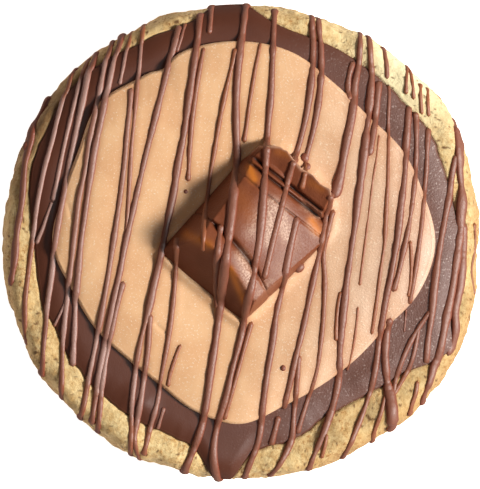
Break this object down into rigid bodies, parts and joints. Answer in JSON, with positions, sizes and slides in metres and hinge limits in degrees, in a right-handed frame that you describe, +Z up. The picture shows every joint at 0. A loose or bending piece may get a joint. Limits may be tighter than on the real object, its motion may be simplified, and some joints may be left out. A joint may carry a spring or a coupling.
{
  "type": "stuffed cookie",
  "caption": "Thick round stuffed cookie coated with chocolate spread and tan icing, topped with a broken chocolate bar piece and drizzled with milk chocolate",
  "frame": {"origin": "middle of the flat underside", "axes": "+Z up from the underside, +Y the way the drizzle starts from and +X to the right of it, as seen from above"},
  "size_m": [0.1083, 0.1095, 0.0398],
  "materials": {
    "baked_cookie": "sandy baked crumb",
    "chocolate_spread": "smooth, softly shining",
    "tan_icing": "fine grained, satin",
    "milk_chocolate": "smooth, shining"
  },
  "bodies": {
    "root": {"cookie": "baked_cookie", "chocolate_spread": "chocolate_spread", "icing": "tan_icing", "chocolate_piece": "milk_chocolate"}
  },
  "joints": []
}
